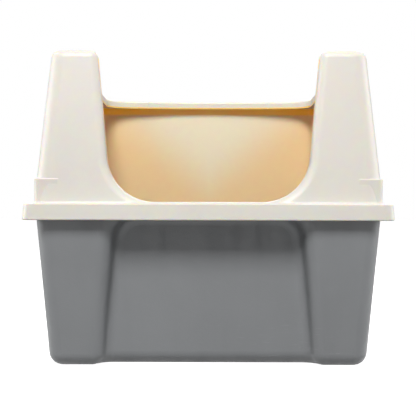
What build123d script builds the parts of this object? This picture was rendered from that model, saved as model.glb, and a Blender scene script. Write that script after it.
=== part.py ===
"""Cat litter box with a high, open-topped hood: a tray, a hood that stands on its rim and two side latches.

Millimetres. +Z is up, the entry faces -Y, and the origin is on the floor under the middle of the box.
"""

import os
from math import cos, radians, sin, sqrt, tan

from build123d import *

# Overall sizes, over the hood's skirt
box_width = 410.0
box_length = 530.0
box_height = 355.0

# Walls
hood_wall = 2.5
tray_wall = 2.4

# Skirt: the hood's overhanging edge, which hides the tray's rim
skirt_top = 181.0
skirt_drop = 17.5
skirt_lean = 5.3
skirt_corner = 10.0
skirt_edge_round = 1.2
skirt_ledge = 9.7
foot_round = 4.0

# Hood walls
hood_lean = 5.6
hood_corner = 17.0
hood_roll = 9.5

# Rolled rim round the hood's open top
rim_depth = 15.0
rim_corner = 32.0
rim_back_bow = 12.0
rim_lip_drop = 11.5
rim_lip_round = 2.2

# Entry in the hood's front
entry_top_width = 251.0
entry_lean = 5.9
entry_step = 3.0
entry_corner = 53.0

# Square stacking shoulders at the hood's corners
shoulder_height = 29.0
shoulder_width = 27.0
shoulder_corner = 6.0
shoulder_round = 1.5
shoulder_inset = 2.2

# Accessory sockets in the back rim
socket_place = 98.0
socket_slot_spread = 24.0
socket_slot_width = 5.0
socket_slot_depth = 6.0
socket_slit_width = 2.0

# Tray
tray_inset = 12.4
tray_lean = 4.8
tray_corner = 17.0
tray_bottom_round = 15.0
tray_rim_drop = 10.0
rim_clearance = 1.0

# Recess in the tray's front and back
recess_depth = 29.0
recess_roof_gap = 4.0
recess_roof_width = 203.0
recess_lean = 5.6
recess_corner = 28.0
recess_draft = 10.0
recess_ridge_round = 15.5
recess_panel_round = 12.0

# Side latches
latch_length = 56.0
latch_gap = 0.4
latch_drop = 27.0
latch_plate = 2.8
latch_barrel_radius = 3.6
latch_open_angle = 30.0
hook_overlap = 1.7
hook_gap = 0.3
hook_height = 3.0
finger_flare = 3.5
finger_height = 6.0
pin_radius = 2.0
pin_clearance = 0.05
pin_length = 4.5
lug_length = 6.5
lug_radius = 4.8
pivot_height = 10.5
pivot_stand_off = 3.4

# Small lengths for clean cuts and for picking edges, and the least cosine of a face that faces an axis
through = 2.0
hair = 0.01
facing = 0.9

# Worked out from the sizes above
skirt_bottom = skirt_top - skirt_drop
skirt_flare = skirt_drop * tan(radians(skirt_lean))
hood_base_width = box_width - 2 * skirt_ledge
hood_base_length = box_length - 2 * skirt_ledge
tray_top = skirt_top - hood_wall
rim_inset = skirt_flare + hood_wall + rim_clearance
recess_roof = skirt_bottom + recess_roof_gap
opening_width = hood_base_width - 2 * (rim_depth + (box_height - skirt_top) * tan(radians(hood_lean)))
opening_length = hood_base_length - 2 * (rim_depth + (box_height - skirt_top) * tan(radians(hood_lean)))
pivot_x = box_width / 2 + pivot_stand_off
pivot_z = skirt_bottom + pivot_height


def leaning_block(width, length, corner, bottom, top, lean):
    """Return a block whose sides lean inwards going up, with one round all the way up its four corners."""
    with BuildPart() as block:
        with BuildSketch(Plane.XY.offset(bottom)):
            Rectangle(width, length)
        extrude(amount=top - bottom, taper=lean)
        fillet(block.edges().filter_by(lambda edge: bottom + hair < edge.center().Z < top - hair), corner)
    return block.part


def hood_block(inset, bottom, top, corner):
    """Return the hood's leaning block between two levels, drawn in by inset on every side."""
    draw_in = (bottom - skirt_top) * tan(radians(hood_lean)) + inset
    return leaning_block(
        hood_base_width - 2 * draw_in, hood_base_length - 2 * draw_in, corner, bottom, top, hood_lean
    )


def well_outline(level, inset):
    """Return the rim's inner outline on a level, drawn in by inset, with a back edge that bows outwards."""
    draw_in = (level - skirt_top) * tan(radians(hood_lean)) + inset
    side_x = hood_base_width / 2 - draw_in
    back_y = hood_base_length / 2 - draw_in
    corner_y = back_y - rim_back_bow
    with BuildSketch() as outline:
        with BuildLine():
            Polyline((side_x, corner_y), (side_x, -back_y), (-side_x, -back_y), (-side_x, corner_y))
            ThreePointArc((-side_x, corner_y), (0, back_y), (side_x, corner_y))
        make_face()
        fillet(outline.vertices(), rim_corner + rim_depth - inset)
    return outline.sketch


def rim_well(inset, bottom):
    """Return the block inside the rim from a level up to the top, drawn in by inset."""
    top = box_height + through
    with BuildPart() as well:
        with BuildSketch(Plane.XY.offset(bottom)):
            add(well_outline(bottom, inset))
        with BuildSketch(Plane.XY.offset(top)):
            add(well_outline(top, inset))
        loft(ruled=True)
    return well.part


def within(width, length):
    """Return a test for edges whose middle lies inside a centred rectangle."""
    return lambda edge: abs(edge.center().X) < width / 2 and abs(edge.center().Y) < length / 2


def entry_cut(grow):
    """Return the U-shaped prism that opens the hood's front, grown on every side by grow."""
    depth = 3 * rim_depth
    floor = skirt_top + entry_step - grow
    top = box_height + through
    floor_width = entry_top_width + 2 * grow - 2 * (box_height - floor) * tan(radians(entry_lean))
    top_width = floor_width + 2 * (top - floor) * tan(radians(entry_lean))
    with BuildPart() as cut:
        with BuildSketch(Plane.XZ.offset(box_length / 2 - depth)) as outline:
            with BuildLine():
                Polyline(
                    (-floor_width / 2, floor),
                    (floor_width / 2, floor),
                    (top_width / 2, top),
                    (-top_width / 2, top),
                    close=True,
                )
            make_face()
            fillet(outline.vertices().group_by(Axis.Y)[0], entry_corner + grow)
        extrude(amount=depth)
    return cut.part


def hood_walls(inset):
    """Return the hood's walls as a solid with the entry cut out and its edges rolled."""
    with BuildPart() as walls:
        add(hood_block(inset, skirt_bottom, box_height - inset, hood_corner - inset))
        add(entry_cut(inset), mode=Mode.SUBTRACT)
        top_face = walls.faces().sort_by(Axis.Z)[-1]
        front_face = walls.faces().filter_by(lambda face: face.normal_at().Y < -facing).sort_by(Axis.Y)[0]
        behind_entry = top_face.edges().filter_by(
            lambda edge: abs(edge.center().X) < hair and edge.center().Y < 0
        )
        entry_edges = front_face.edges().filter_by(
            lambda edge: abs(edge.center().X) < entry_top_width / 2
            and skirt_top < edge.center().Z + inset < box_height - through
        )
        fillet(top_face.edges() - behind_entry + entry_edges, hood_roll - inset)
    return walls.part


def shoulders(inset):
    """Return the four square stacking shoulders, drawn in by inset."""
    width = hood_base_width - 2 * (shoulder_inset + inset)
    length = hood_base_length - 2 * (shoulder_inset + inset)
    side = shoulder_width - 2 * inset
    corner = shoulder_corner - inset
    with BuildPart() as blocks:
        with BuildSketch(Plane.XY.offset(skirt_bottom)):
            RectangleRounded(width, length, corner)
            Rectangle(width - 2 * side, length, mode=Mode.SUBTRACT)
            Rectangle(width, length - 2 * side, mode=Mode.SUBTRACT)
        extrude(amount=skirt_drop + shoulder_height - inset)
        if inset == 0:
            fillet(blocks.faces().group_by(Axis.Z)[-1].edges(), shoulder_round)
    return blocks.part


def skirt_block(inset):
    """Return the skirt as a solid block, drawn in by inset."""
    return leaning_block(
        box_width - 2 * inset,
        box_length - 2 * inset,
        skirt_corner - inset,
        skirt_bottom,
        skirt_top - inset,
        skirt_lean,
    )


def hood_solid(inset):
    """Return the hood's whole outer form, or its hollow when drawn in by the wall."""
    with BuildPart() as form:
        add(hood_walls(inset))
        add(shoulders(inset))
        add(skirt_block(inset))
        if inset == 0:
            on_skirt = form.edges().filter_by_position(Axis.Z, skirt_top - hair, skirt_top + hair)
            fillet(on_skirt.filter_by(within(hood_base_width + 1, hood_base_length + 1)), foot_round)
            fillet(form.faces().sort_by(Axis.Z)[0].edges(), skirt_edge_round)
    return form.part


def rim_lip():
    """Return the lip that hangs down along the open top's edge, still filled across the middle."""
    with BuildPart() as lip:
        add(rim_well(rim_depth - hood_wall, box_height - rim_lip_drop))
        add(hood_walls(0), mode=Mode.INTERSECT)
    return lip.part


def side_plane(side, swing=0.0):
    """Return the plane across a side latch: origin on the pivot, X outwards, swung open by an angle."""
    outwards = (side * cos(radians(swing)), 0, sin(radians(swing)))
    return Plane(origin=(side * pivot_x, 0, pivot_z), x_dir=outwards, z_dir=(0, -side, 0))


def latch_window(side):
    """Return the block that opens the skirt for a side latch."""
    height = pivot_height + latch_barrel_radius + latch_gap
    with BuildPart() as window:
        with BuildSketch(side_plane(side)):
            with Locations((-pivot_stand_off, (height - through) / 2 - pivot_height)):
                Rectangle(2 * (skirt_flare + hood_wall + latch_gap), height + through)
        extrude(amount=latch_length / 2 + latch_gap, both=True)
    return window.part


def latch_lugs(side):
    """Return the two lugs that carry a latch's pins, bored for them."""
    inner_end = latch_length / 2 + latch_gap
    with BuildPart() as lugs:
        with BuildSketch(side_plane(side)):
            Circle(lug_radius)
            with Locations((-pivot_stand_off / 2, 0)):
                Rectangle(pivot_stand_off + hood_wall, 2 * lug_radius)
            Circle(pin_radius + pin_clearance, mode=Mode.SUBTRACT)
        extrude(amount=inner_end + lug_length, both=True)
        with BuildSketch(side_plane(side)):
            Circle(lug_radius + pivot_stand_off + 2 * hood_wall)
        extrude(amount=inner_end, both=True, mode=Mode.SUBTRACT)
    return lugs.part


def socket_cut(place):
    """Return the two slots and the slit of an accessory socket in the back rim."""
    bow_radius = ((opening_width / 2) ** 2 + rim_back_bow**2) / (2 * rim_back_bow)
    lip_y = opening_length / 2 - bow_radius + sqrt(bow_radius**2 - place**2)
    middle_y = lip_y + (rim_depth - hood_wall) / 2
    slot_x = (place - socket_slot_spread / 2, place + socket_slot_spread / 2)
    with BuildPart() as cut:
        with BuildSketch(Plane.XY.offset(box_height + through)):
            with Locations((slot_x[0], middle_y), (slot_x[1], middle_y)):
                SlotOverall(socket_slot_depth, socket_slot_width, rotation=90)
            with Locations((place, lip_y)):
                Rectangle(socket_slit_width, 2 * (hood_wall + hair))
        extrude(amount=-rim_lip_drop - 2 * through)
    return cut.part


def tray_block(inset, top):
    """Return the tray's leaning block from its floor up to top, drawn in by inset on every side."""
    draw_in = tray_inset + inset + (skirt_bottom - inset) * tan(radians(tray_lean))
    return leaning_block(
        box_width - 2 * draw_in, box_length - 2 * draw_in, tray_corner - inset, inset, top, -tray_lean
    )


def recess_cut(grow, end):
    """Return the block that sinks the middle of the tray's front (end -1) or back (end 1)."""
    roof = recess_roof + grow
    roof_width = recess_roof_width + 2 * grow
    floor_width = roof_width + 2 * (roof + through) * tan(radians(recess_lean))
    panel_y = end * (box_length / 2 - tray_inset - recess_depth - grow)
    with BuildPart() as cut:
        with BuildSketch(Plane(origin=(0, panel_y, 0), x_dir=(-end, 0, 0), z_dir=(0, end, 0))) as outline:
            with BuildLine():
                Polyline(
                    (-floor_width / 2, -through),
                    (floor_width / 2, -through),
                    (roof_width / 2, roof),
                    (-roof_width / 2, roof),
                    close=True,
                )
            make_face()
            fillet(outline.vertices().group_by(Axis.Y)[-1], recess_corner + grow)
        extrude(amount=recess_depth + tray_inset, taper=-recess_draft)
        panel_edges = cut.edges().filter_by_position(Axis.Y, panel_y - hair, panel_y + hair)
        fillet(panel_edges.sort_by(Axis.Z)[1:], recess_panel_round + grow)
    return cut.part


def tray_form(inset, top):
    """Return the tray as a solid up to top, or its hollow when drawn in by the wall."""
    over_top = top + 2 * recess_ridge_round
    outer_half = (box_length / 2 - tray_inset) - recess_depth / 2
    with BuildPart() as form:
        add(tray_block(inset, over_top))
        for end in (-1, 1):
            add(recess_cut(inset, end), mode=Mode.SUBTRACT)
        end_faces = form.faces().filter_by(
            lambda face: abs(face.normal_at().Y) > facing and abs(face.center().Y) > outer_half
        )
        ridges = end_faces.edges().filter_by(
            lambda edge: abs(edge.center().X) < recess_roof_width / 2 + recess_depth
            and inset + hair < edge.center().Z < over_top - hair
        )
        fillet(ridges, recess_ridge_round - inset)
        fillet(form.faces().sort_by(Axis.Z)[0].edges(), tray_bottom_round - inset)
        split(bisect_by=Plane.XY.offset(top), keep=Keep.BOTTOM)
    return form.part


def tray_rim():
    """Return the tray's rim, a flange turned down all round, still filled across the middle."""
    bottom = tray_top - tray_rim_drop
    rim_width = box_width - 2 * rim_inset
    rim_length = box_length - 2 * rim_inset
    rim_corner_round = skirt_corner - rim_inset
    with BuildPart() as rim:
        with BuildSketch(Plane.XY.offset(bottom)):
            RectangleRounded(rim_width, rim_length, rim_corner_round)
        extrude(amount=tray_rim_drop)
        with BuildSketch(Plane.XY.offset(bottom)):
            Rectangle(rim_width - 2 * tray_wall, rim_length - 2 * tray_wall)
        extrude(amount=tray_rim_drop - tray_wall, mode=Mode.SUBTRACT)
    return rim.part


def latch(side):
    """Return a side latch: barrel, pins, plate with a finger edge, and the hook for the tray's rim."""
    rim_edge = pivot_x - (box_width / 2 - rim_inset)
    hook_tip = -(rim_edge + hook_overlap)
    hook_top = tray_top - tray_rim_drop - hook_gap - pivot_z
    plate_inner = latch_barrel_radius - latch_plate
    flare_start = finger_height - latch_drop
    with BuildPart() as clip:
        with BuildSketch(side_plane(side, latch_open_angle)):
            Circle(latch_barrel_radius)
            with BuildLine():
                Polyline(
                    (plate_inner, 0),
                    (plate_inner, hook_top),
                    (hook_tip, hook_top),
                    (hook_tip, hook_top - hook_height / 2),
                    (plate_inner, hook_top - hook_height),
                    (plate_inner, flare_start),
                    (plate_inner + finger_flare, -latch_drop),
                    (latch_barrel_radius + finger_flare, -latch_drop),
                    (latch_barrel_radius, flare_start),
                    (latch_barrel_radius, 0),
                    close=True,
                )
            make_face()
        extrude(amount=latch_length / 2, both=True)
        with BuildSketch(side_plane(side, latch_open_angle)):
            Circle(pin_radius)
        extrude(amount=latch_length / 2 + pin_length, both=True)
    return clip.part


with BuildPart() as hood:
    add(hood_solid(0))
    add(hood_solid(hood_wall), mode=Mode.SUBTRACT)
    add(rim_lip())
    add(rim_well(rim_depth, skirt_bottom), mode=Mode.SUBTRACT)
    rim_edges = hood.faces().sort_by(Axis.Z)[-1].edges()
    fillet(rim_edges.filter_by(within(opening_width + 1, opening_length + 1)), rim_lip_round)
    for place in (-socket_place, socket_place):
        add(socket_cut(place), mode=Mode.SUBTRACT)
    for side in (-1, 1):
        add(latch_window(side), mode=Mode.SUBTRACT)
        add(latch_lugs(side))

with BuildPart() as tray:
    add(tray_form(0, tray_top))
    add(tray_rim())
    add(tray_form(tray_wall, tray_top + through), mode=Mode.SUBTRACT)

pieces = {"tray": tray.part, "hood": hood.part, "latch_left": latch(-1), "latch_right": latch(1)}
os.makedirs("parts", exist_ok=True)
for name, piece in pieces.items():
    piece.label = name
    export_step(piece, f"parts/{name}.step")
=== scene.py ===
import math

import bpy
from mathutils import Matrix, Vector


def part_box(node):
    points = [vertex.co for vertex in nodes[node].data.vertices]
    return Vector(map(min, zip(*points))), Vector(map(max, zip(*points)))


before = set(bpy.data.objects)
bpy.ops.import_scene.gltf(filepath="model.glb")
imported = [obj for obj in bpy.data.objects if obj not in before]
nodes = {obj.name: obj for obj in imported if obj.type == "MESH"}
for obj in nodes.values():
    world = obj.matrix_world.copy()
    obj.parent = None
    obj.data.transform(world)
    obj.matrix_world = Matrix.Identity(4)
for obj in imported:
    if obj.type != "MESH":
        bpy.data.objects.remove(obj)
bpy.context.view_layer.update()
scene = bpy.context.scene
print("frame loaded:", ", ".join(sorted(nodes)))


# small helpers for node trees

def putNode(tree, kind, **settings):
    node = tree.nodes.new(kind)
    for name, value in settings.items():
        setattr(node, name, value)
    return node


def feed(tree, socket, source):
    # a socket takes another node's output or a plain value
    if isinstance(source, bpy.types.NodeSocket):
        tree.links.new(source, socket)
    else:
        socket.default_value = source


def maths(tree, operation, first, second=0.0):
    node = putNode(tree, "ShaderNodeMath", operation=operation)
    feed(tree, node.inputs[0], first)
    feed(tree, node.inputs[1], second)
    return node.outputs[0]


def ramp(tree, value, low, high, start=0.0, end=1.0):
    # smooth change from start to end while value goes from low to high
    node = putNode(tree, "ShaderNodeMapRange", interpolation_type="SMOOTHSTEP")
    feed(tree, node.inputs["Value"], value)
    feed(tree, node.inputs["From Min"], low)
    feed(tree, node.inputs["From Max"], high)
    feed(tree, node.inputs["To Min"], start)
    feed(tree, node.inputs["To Max"], end)
    return node.outputs["Result"]


def blendColours(tree, factor, first, second):
    node = putNode(tree, "ShaderNodeMix", data_type="RGBA")
    feed(tree, node.inputs[0], factor)
    feed(tree, node.inputs[6], first)
    feed(tree, node.inputs[7], second)
    return node.outputs[2]


def objectPoint(tree, scale=(1.0, 1.0, 1.0)):
    coordinates = putNode(tree, "ShaderNodeTexCoord")
    mapping = putNode(tree, "ShaderNodeMapping")
    mapping.inputs["Scale"].default_value = scale
    tree.links.new(coordinates.outputs["Object"], mapping.inputs["Vector"])
    return mapping.outputs["Vector"]


def noise(tree, point, scale, detail=2.0, roughness=0.5):
    node = putNode(tree, "ShaderNodeTexNoise")
    feed(tree, node.inputs["Vector"], point)
    feed(tree, node.inputs["Scale"], scale)
    feed(tree, node.inputs["Detail"], detail)
    feed(tree, node.inputs["Roughness"], roughness)
    return node.outputs["Fac"]


def startGroup(name, inputs, outputs):
    # a shader node group with float sockets, given as {name: default}
    group = bpy.data.node_groups.new(name, "ShaderNodeTree")
    for label, default in inputs.items():
        socket = group.interface.new_socket(label, in_out="INPUT", socket_type="NodeSocketFloat")
        socket.default_value = default
    for label in outputs:
        group.interface.new_socket(label, in_out="OUTPUT", socket_type="NodeSocketFloat")
    return group, putNode(group, "NodeGroupInput").outputs, putNode(group, "NodeGroupOutput").inputs


def useGroup(tree, group, values):
    node = putNode(tree, "ShaderNodeGroup", node_tree=group)
    for label, value in values.items():
        feed(tree, node.inputs[label], value)
    return node.outputs


# effects that every moulded piece shares

def makeMouldGrain():
    # spark-eroded mould texture, orange peel and slow shrinkage waves
    group, given, made = startGroup(
        "mouldGrain", {"Grain Size": 0.0008, "Grain": 0.3, "Peel": 0.5}, ("Height", "Speckle")
    )
    point = objectPoint(group)
    fine = noise(group, point, maths(group, "DIVIDE", 1.0, given["Grain Size"]), 3.0, 0.6)
    peel = noise(group, point, 160.0, 2.0, 0.45)
    waves = noise(group, point, 14.0, 1.0, 0.4)
    height = maths(group, "MULTIPLY", fine, given["Grain"])
    height = maths(group, "ADD", height, maths(group, "MULTIPLY", peel, given["Peel"]))
    feed(group, made["Height"], maths(group, "ADD", height, waves))
    feed(group, made["Speckle"], fine)
    return group


def makeColourDrift():
    # pigment that mixed unevenly as the plastic flowed: broad clouds, drawn out upwards
    group, given, made = startGroup("colourDrift", {"Size": 0.12}, ("Cloud", "Streak"))
    perMetre = maths(group, "DIVIDE", 1.0, given["Size"])
    feed(group, made["Cloud"], ramp(group, noise(group, objectPoint(group), perMetre, 3.0), 0.3, 0.7))
    drawnOut = objectPoint(group, (1.0, 1.0, 0.12))
    finer = maths(group, "MULTIPLY", perMetre, 5.0)
    feed(group, made["Streak"], ramp(group, noise(group, drawnOut, finer, 4.0, 0.6), 0.35, 0.75))
    return group


def makeEdgeWear():
    # rubbed edges: where a softened normal leaves the true one, broken up by noise
    group, given, made = startGroup("edgeWear", {"Radius": 0.002, "Amount": 1.0}, ("Edge",))
    softened = putNode(group, "ShaderNodeBevel", samples=4)
    feed(group, softened.inputs["Radius"], given["Radius"])
    surface = putNode(group, "ShaderNodeNewGeometry")
    likeness = putNode(group, "ShaderNodeVectorMath", operation="DOT_PRODUCT")
    group.links.new(softened.outputs["Normal"], likeness.inputs[0])
    group.links.new(surface.outputs["Normal"], likeness.inputs[1])
    bare = ramp(group, likeness.outputs["Value"], 0.995, 0.9)
    broken = ramp(group, noise(group, objectPoint(group), 90.0, 4.0, 0.65), 0.35, 0.65)
    worn = maths(group, "MULTIPLY", maths(group, "MULTIPLY", bare, broken), given["Amount"])
    feed(group, made["Edge"], worn)
    return group


def makeScuffs():
    # fine rub marks that run mostly level, thickest under a given height
    group, given, made = startGroup("scuffs", {"Below": 0.08, "Amount": 1.0}, ("Scuff",))
    marks = ramp(group, noise(group, objectPoint(group, (9.0, 9.0, 160.0)), 4.0, 3.0, 0.7), 0.6, 0.72)
    patches = ramp(group, noise(group, objectPoint(group), 11.0, 2.0), 0.45, 0.65)
    place = putNode(group, "ShaderNodeSeparateXYZ")
    group.links.new(objectPoint(group), place.inputs["Vector"])
    low = ramp(group, place.outputs["Z"], given["Below"], 0.0, 0.15, 1.0)
    scuff = maths(group, "MULTIPLY", maths(group, "MULTIPLY", marks, patches), low)
    feed(group, made["Scuff"], maths(group, "MULTIPLY", scuff, given["Amount"]))
    return group


mouldGrain = makeMouldGrain()
colourDrift = makeColourDrift()
edgeWear = makeEdgeWear()
scuffs = makeScuffs()
print("shared effects made")


plasticIor = 1.49


def startMaterial(name):
    material = bpy.data.materials.new(name)
    material.use_nodes = True
    tree = material.node_tree
    shader = tree.nodes["Principled BSDF"]
    return material, tree, shader


def addBump(tree, shader, height, strength, distance):
    bump = putNode(tree, "ShaderNodeBump")
    bump.inputs["Strength"].default_value = strength
    bump.inputs["Distance"].default_value = distance
    tree.links.new(height, bump.inputs["Height"])
    tree.links.new(bump.outputs["Normal"], shader.inputs["Normal"])


# hood: cream polypropylene that lets a little light through, with light and shade painted on its inner
# walls and rim

hoodFinish = {
    "cream": (0.70, 0.675, 0.62, 1.0),
    "deepCream": (0.660, 0.640, 0.590, 1.0),
    "rubbed": (0.80, 0.77, 0.71, 1.0),
    # painted colours: a lighter lip face, light and shade on the inner walls, and a shadow band under the
    # rim
    "lip": (0.82, 0.79, 0.70, 1.0),
    "inside": (0.99, 0.83, 0.66, 1.0),
    "insideDeep": (0.93, 0.70, 0.41, 1.0),
    "paintedRimShadow": (1.0, 0.62, 0.12, 1.0),
    "lightThrough": (0.13, 0.05, 0.0, 1.0),
    "rimLipHeight": 0.0115,     # heights, widths and depths are in metres
    "rimShadowHeight": (0.006, 0.011),
    "litPoolHalfWidth": 0.13,
    "litPoolDepth": 0.11,
    "litPoolEnds": (0.6, 1.7),
    "inwardsFacing": (-0.1, -0.35),
    "glossy": 0.34,
    "matt": 0.46,
    "glowDepth": 0.0032,
    "glowColours": (1.0, 0.55, 0.18),
    "drift": {"Size": 0.16},
    "grain": {"Grain Size": 0.0009, "Grain": 0.22, "Peel": 0.35},
    "wear": {"Radius": 0.0018, "Amount": 0.5},
    "scuffs": {"Below": 0.30, "Amount": 0.35},
    "bumpStrength": 0.35,
    "bumpHeight": 0.0006,
}


def makeHoodPlastic(look):
    material, tree, shader = startMaterial("hoodPlastic")
    drift = useGroup(tree, colourDrift, look["drift"])
    grain = useGroup(tree, mouldGrain, look["grain"])
    worn = useGroup(tree, edgeWear, look["wear"])
    marks = useGroup(tree, scuffs, look["scuffs"])

    # a wall's inner face looks towards the middle of the box
    surface = putNode(tree, "ShaderNodeNewGeometry")
    point = objectPoint(tree, (1.0, 1.0, 0.0))
    outwards = putNode(tree, "ShaderNodeVectorMath", operation="NORMALIZE")
    tree.links.new(point, outwards.inputs[0])
    facing = putNode(tree, "ShaderNodeVectorMath", operation="DOT_PRODUCT")
    tree.links.new(surface.outputs["Normal"], facing.inputs[0])
    tree.links.new(outwards.outputs["Vector"], facing.inputs[1])
    place = putNode(tree, "ShaderNodeSeparateXYZ")
    tree.links.new(objectPoint(tree), place.inputs["Vector"])
    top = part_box("hood")[1][2]
    lipEnd = top - look["rimLipHeight"]
    underLip = ramp(tree, place.outputs["Z"], lipEnd + 0.003, lipEnd + 0.001)
    inwards = ramp(tree, facing.outputs["Value"], *look["inwardsFacing"])
    inner = maths(tree, "MULTIPLY", inwards, underLip)
    rimShadowFull, rimShadowGone = look["rimShadowHeight"]
    nearRim = ramp(tree, place.outputs["Z"], lipEnd - rimShadowGone, lipEnd - rimShadowFull)

    # painted light and shade inside: the inner walls are painted palest high up in the middle, like a pool
    # of light falling in, and yellower and darker towards the corners and the floor, like shade and light
    # warmed by passing through the plastic
    aside = maths(tree, "DIVIDE", maths(tree, "ABSOLUTE", place.outputs["X"]), look["litPoolHalfWidth"])
    drop = maths(tree, "SUBTRACT", lipEnd, place.outputs["Z"])
    below = maths(tree, "DIVIDE", drop, look["litPoolDepth"])
    paintedShadeAmount = ramp(tree, maths(tree, "ADD", aside, below), *look["litPoolEnds"])
    inside = blendColours(tree, paintedShadeAmount, look["inside"], look["insideDeep"])

    cloud = maths(tree, "MULTIPLY", drift["Cloud"], 0.5)
    colour = blendColours(tree, cloud, look["cream"], look["deepCream"])
    # painted highlight: inward faces above the lip's bottom edge, the lip's face, are painted lighter than
    # the outside cream, standing in for the light they catch
    colour = blendColours(tree, inwards, colour, look["lip"])
    colour = blendColours(tree, inner, colour, inside)
    # painted shadow: an orange band on the inner walls just under the rim lip, where the lip shades the
    # wall and light comes through the plastic
    rimShadowBand = maths(tree, "MULTIPLY", inner, nearRim)
    colour = blendColours(tree, rimShadowBand, colour, look["paintedRimShadow"])
    rubbed = maths(tree, "MAXIMUM", worn["Edge"], marks["Scuff"])
    colour = blendColours(tree, rubbed, colour, look["rubbed"])
    tree.links.new(colour, shader.inputs["Base Color"])

    # a faint painted glow of the rim shadow band itself, in place of light that comes through the thin lip
    shader.inputs["Emission Color"].default_value = look["lightThrough"]
    tree.links.new(rimShadowBand, shader.inputs["Emission Strength"])

    sheen = maths(tree, "MULTIPLY", maths(tree, "ADD", drift["Streak"], grain["Speckle"]), 0.5)
    roughness = ramp(tree, sheen, 0.2, 0.8, look["glossy"], look["matt"])
    roughness = maths(tree, "ADD", roughness, maths(tree, "MULTIPLY", marks["Scuff"], 0.2))
    tree.links.new(roughness, shader.inputs["Roughness"])
    shader.inputs["IOR"].default_value = plasticIor
    shader.inputs["Subsurface Weight"].default_value = 1.0
    shader.inputs["Subsurface Radius"].default_value = look["glowColours"]
    shader.inputs["Subsurface Scale"].default_value = look["glowDepth"]
    addBump(tree, shader, grain["Height"], look["bumpStrength"], look["bumpHeight"])
    return material


# tray: grey polypropylene, scuffed near the floor

trayFinish = {
    "grey": (0.190, 0.197, 0.203, 1.0),
    "deepGrey": (0.160, 0.165, 0.170, 1.0),
    "rubbed": (0.30, 0.305, 0.31, 1.0),
    "glossy": 0.42,
    "matt": 0.56,
    "drift": {"Size": 0.10},
    "grain": {"Grain Size": 0.0011, "Grain": 0.5, "Peel": 0.4},
    "wear": {"Radius": 0.0025, "Amount": 0.45},
    "scuffs": {"Below": 0.09, "Amount": 0.5},
    "bumpStrength": 0.4,
    "bumpHeight": 0.0008,
}


def makeTrayPlastic(look):
    material, tree, shader = startMaterial("trayPlastic")
    drift = useGroup(tree, colourDrift, look["drift"])
    grain = useGroup(tree, mouldGrain, look["grain"])
    worn = useGroup(tree, edgeWear, look["wear"])
    marks = useGroup(tree, scuffs, look["scuffs"])
    cloud = maths(tree, "MULTIPLY", maths(tree, "ADD", drift["Cloud"], grain["Speckle"]), 0.45)
    colour = blendColours(tree, cloud, look["grey"], look["deepGrey"])
    rubbed = maths(tree, "MAXIMUM", worn["Edge"], marks["Scuff"])
    colour = blendColours(tree, rubbed, colour, look["rubbed"])
    tree.links.new(colour, shader.inputs["Base Color"])
    roughness = ramp(tree, drift["Streak"], 0.0, 1.0, look["glossy"], look["matt"])
    roughness = maths(tree, "ADD", roughness, maths(tree, "MULTIPLY", marks["Scuff"], 0.15))
    tree.links.new(roughness, shader.inputs["Roughness"])
    shader.inputs["IOR"].default_value = plasticIor
    addBump(tree, shader, grain["Height"], look["bumpStrength"], look["bumpHeight"])
    return material


# latches: the same grey, moulded smoother and polished by fingers

latchFinish = {
    "grey": (0.150, 0.156, 0.162, 1.0),
    "thumbed": (0.115, 0.118, 0.122, 1.0),
    "rubbed": (0.29, 0.295, 0.30, 1.0),
    "glossy": 0.30,
    "matt": 0.48,
    "drift": {"Size": 0.03},
    "grain": {"Grain Size": 0.0006, "Grain": 0.35, "Peel": 0.2},
    "wear": {"Radius": 0.0009, "Amount": 0.8},
    "bumpStrength": 0.3,
    "bumpHeight": 0.0004,
}


def makeLatchPlastic(look):
    material, tree, shader = startMaterial("latchPlastic")
    drift = useGroup(tree, colourDrift, look["drift"])
    grain = useGroup(tree, mouldGrain, look["grain"])
    worn = useGroup(tree, edgeWear, look["wear"])
    colour = blendColours(tree, drift["Cloud"], look["grey"], look["thumbed"])
    colour = blendColours(tree, worn["Edge"], colour, look["rubbed"])
    tree.links.new(colour, shader.inputs["Base Color"])
    roughness = ramp(tree, drift["Cloud"], 0.0, 1.0, look["matt"], look["glossy"])
    tree.links.new(roughness, shader.inputs["Roughness"])
    shader.inputs["IOR"].default_value = plasticIor
    addBump(tree, shader, grain["Height"], look["bumpStrength"], look["bumpHeight"])
    return material


def dress(name, material):
    mesh = nodes[name].data
    mesh.materials.clear()
    mesh.materials.append(material)


latchPlastic = makeLatchPlastic(latchFinish)
dress("hood", makeHoodPlastic(hoodFinish))
dress("tray", makeTrayPlastic(trayFinish))
dress("latch_left", latchPlastic)
dress("latch_right", latchPlastic)
print("plastics applied")


# studio

studio = {
    "floorSize": 40.0,
    "floorSeen": (0.90, 0.90, 0.90, 1.0),
    "floorLighting": (0.12, 0.12, 0.12, 1.0),
    "floorGlow": 0.90,
    "seenBackground": 1.0,
    "fill": 0.10,
    "keyPlace": (-0.15, -1.75, 1.85),
    "keySize": 0.75,
    "keyPower": 59.0,
    "bouncePlace": (0.0, -2.1, 0.10),
    "bounceSize": (0.9, 0.35),
    "bouncePower": 1.5,
    "sidePlace": (2.0, 0.0, 0.6),
    "sideSize": 1.3,
    "sidePower": 21.0,
    "backPlace": (0.5, 2.3, 1.5),
    "backPower": 14.0,
    "aim": (0.0, 0.0, 0.20),
}


def seenOrMirrored(tree):
    # 1 where the camera or a reflection meets the surface, 0 where it only lights other things
    rays = putNode(tree, "ShaderNodeLightPath")
    return maths(tree, "MAXIMUM", rays.outputs["Is Camera Ray"], rays.outputs["Is Glossy Ray"])


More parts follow.
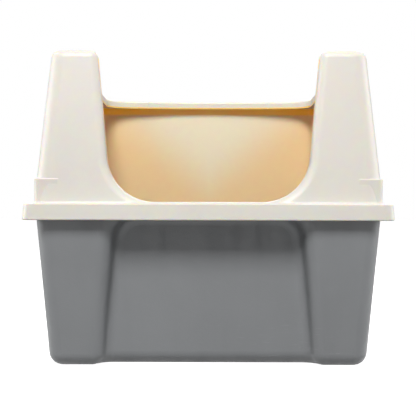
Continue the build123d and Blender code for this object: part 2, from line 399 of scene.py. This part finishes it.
def makeFloor(settings):
    bpy.ops.mesh.primitive_plane_add(size=settings["floorSize"])
    floor = bpy.context.object
    floor.name = "floor"
    material, tree, shader = startMaterial("floorPaper")
    seen = seenOrMirrored(tree)
    colour = blendColours(tree, seen, settings["floorLighting"], settings["floorSeen"])
    tree.links.new(colour, shader.inputs["Base Color"])
    tree.links.new(maths(tree, "MULTIPLY", seen, settings["floorGlow"]), shader.inputs["Emission Strength"])
    shader.inputs["Emission Color"].default_value = (1.0, 1.0, 1.0, 1.0)
    shader.inputs["Roughness"].default_value = 0.9
    floor.data.materials.append(material)


def makeSky(settings):
    # the camera sees white paper; the same paper lights the box less strongly
    world = bpy.data.worlds.new("studioPaper")
    scene.world = world
    world.use_nodes = True
    tree = world.node_tree
    strength = tree.nodes["Background"].inputs["Strength"]
    tree.nodes["Background"].inputs["Color"].default_value = (1.0, 1.0, 1.0, 1.0)
    seen = seenOrMirrored(tree)
    feed(tree, strength, ramp(tree, seen, 0.0, 1.0, settings["fill"], settings["seenBackground"]))


def makeSoftbox(name, place, size, power, aim):
    data = bpy.data.lights.new(name, "AREA")
    data.shape = "RECTANGLE"
    data.size, data.size_y = size
    data.energy = power
    lamp = bpy.data.objects.new(name, data)
    lamp.location = place
    lamp.rotation_euler = (Vector(aim) - Vector(place)).to_track_quat("-Z", "Y").to_euler()
    lamp.visible_camera = False
    scene.collection.objects.link(lamp)


makeFloor(studio)
makeSky(studio)
aim = studio["aim"]
sideSquare = (studio["sideSize"], studio["sideSize"])
makeSoftbox("key", studio["keyPlace"], (studio["keySize"], studio["keySize"]), studio["keyPower"], aim)
makeSoftbox("bounce", studio["bouncePlace"], studio["bounceSize"], studio["bouncePower"], aim)
makeSoftbox("back", studio["backPlace"], sideSquare, studio["backPower"], aim)
for side in (-1, 1):
    place = (side * studio["sidePlace"][0], *studio["sidePlace"][1:])
    makeSoftbox("side", place, sideSquare, studio["sidePower"], aim)
scene.view_settings.view_transform = "Standard"
print("studio lit")


# camera, level with the skirt

camera = {
    "distance": 1.205,      # in front of the middle of the box
    "height": 0.1716,
    "focalLength": 74.77,
    "sensorWidth": 36.0,
    "shiftRight": -0.001,      # in image widths
    "shiftUp": 0.0123,
    "turn": -0.15,
}


def makeCamera(settings):
    data = bpy.data.cameras.new("cameraFront")
    data.sensor_width = settings["sensorWidth"]
    data.lens = settings["focalLength"]
    data.shift_x = settings["shiftRight"]
    data.shift_y = settings["shiftUp"]
    data.clip_end = 60.0
    view = bpy.data.objects.new("cameraFront", data)
    view.location = (0.0, -settings["distance"], settings["height"])
    view.rotation_euler = (math.radians(90.0), math.radians(settings["turn"]), 0.0)
    scene.collection.objects.link(view)
    scene.camera = view


makeCamera(camera)
print("camera set")
